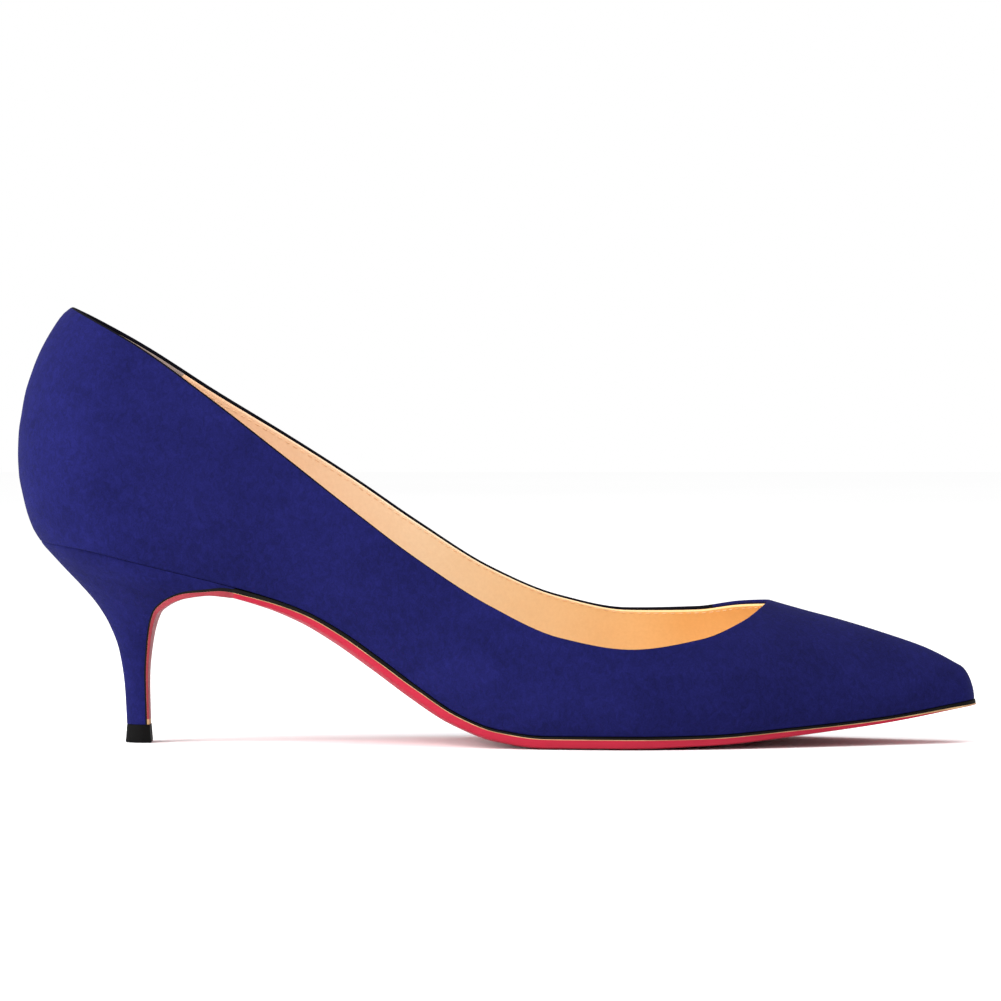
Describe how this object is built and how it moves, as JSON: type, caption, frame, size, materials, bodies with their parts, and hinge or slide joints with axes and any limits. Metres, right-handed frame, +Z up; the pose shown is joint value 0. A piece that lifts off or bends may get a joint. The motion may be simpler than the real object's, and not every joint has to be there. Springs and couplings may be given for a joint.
{
  "type": "kitten heel pump",
  "caption": "Right pointed-toe pump with a low cut topline, suede upper, slim covered kitten heel and thin leather outsole.",
  "frame": {"origin": "on the floor under the middle of the shoe's bounding box", "axes": "+X towards the toe, +Y towards the inner side of the foot, +Z up"},
  "size_m": [0.25, 0.0766, 0.1138],
  "materials": {
    "suede": "matt napped suede",
    "lining": "smooth satin lining leather",
    "sock_lining": "smooth satin sock lining",
    "sole_leather": "satin dyed sole leather",
    "heel_cover": "matt napped suede",
    "top_piece": "dull hard rubber"
  },
  "bodies": {
    "root": {"upper": "suede", "insole": "sock_lining", "outsole": "sole_leather", "heel": "heel_cover", "top_piece": "top_piece"}
  },
  "joints": []
}
